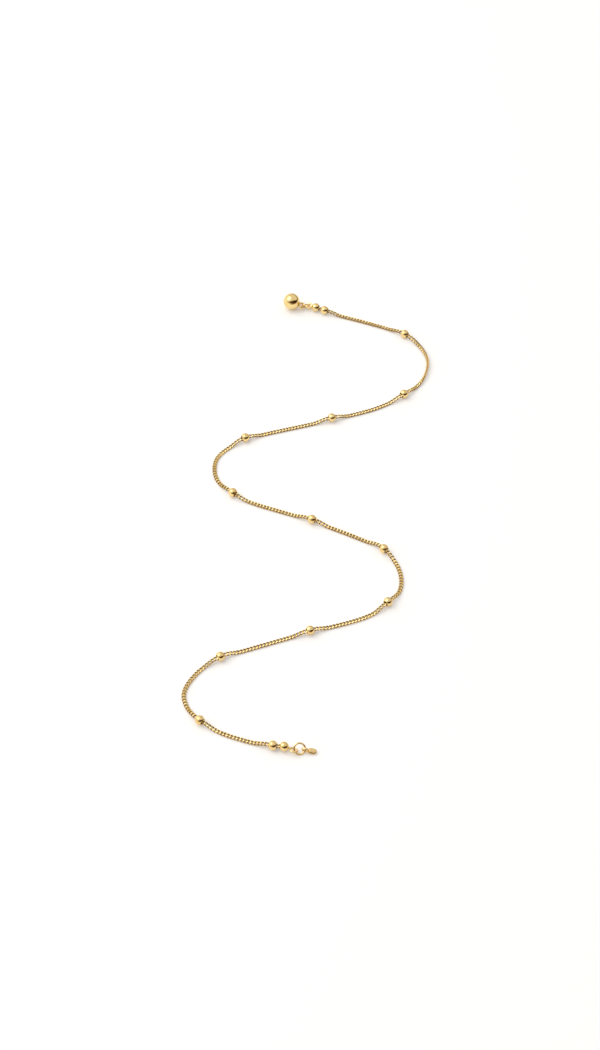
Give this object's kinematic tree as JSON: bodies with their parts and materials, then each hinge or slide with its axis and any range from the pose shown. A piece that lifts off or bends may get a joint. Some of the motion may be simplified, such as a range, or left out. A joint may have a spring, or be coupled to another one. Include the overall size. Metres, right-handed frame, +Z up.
{
  "type": "beaded necklace",
  "caption": "Fine gold-coloured curb chain necklace with small round beads along it, a ball clasp at one end and a ring with its tongue at the other, laid open in an S.",
  "frame": {"origin": "on the surface it lies on, under the middle of its box", "axes": "+Z up off the surface, +Y along the laid length towards the clasp ball, +X across, towards the right in the picture"},
  "size_m": [0.0822, 0.1922, 0.0058],
  "materials": {
    "chain_gold": "polished gold plate",
    "bead_gold": "high polish gold plate",
    "ball_gold": "high polish gold plate",
    "wire_gold": "polished gold plate",
    "tongue_gold": "polished gold plate"
  },
  "bodies": {
    "root": {"chain": "chain_gold", "station_bead_01": "bead_gold", "station_bead_02": "bead_gold", "station_bead_03": "bead_gold", "station_bead_04": "bead_gold", "station_bead_05": "bead_gold", "station_bead_06": "bead_gold", "station_bead_07": "bead_gold", "station_bead_08": "bead_gold", "station_bead_09": "bead_gold", "station_bead_10": "bead_gold", "station_bead_11": "bead_gold", "station_bead_12": "bead_gold", "station_bead_13": "bead_gold", "end_bead_top": "bead_gold", "end_bead_bottom": "bead_gold", "clasp_ball": "ball_gold", "jump_ring": "wire_gold", "end_ring": "wire_gold", "clasp_tongue": "tongue_gold"}
  },
  "joints": []
}
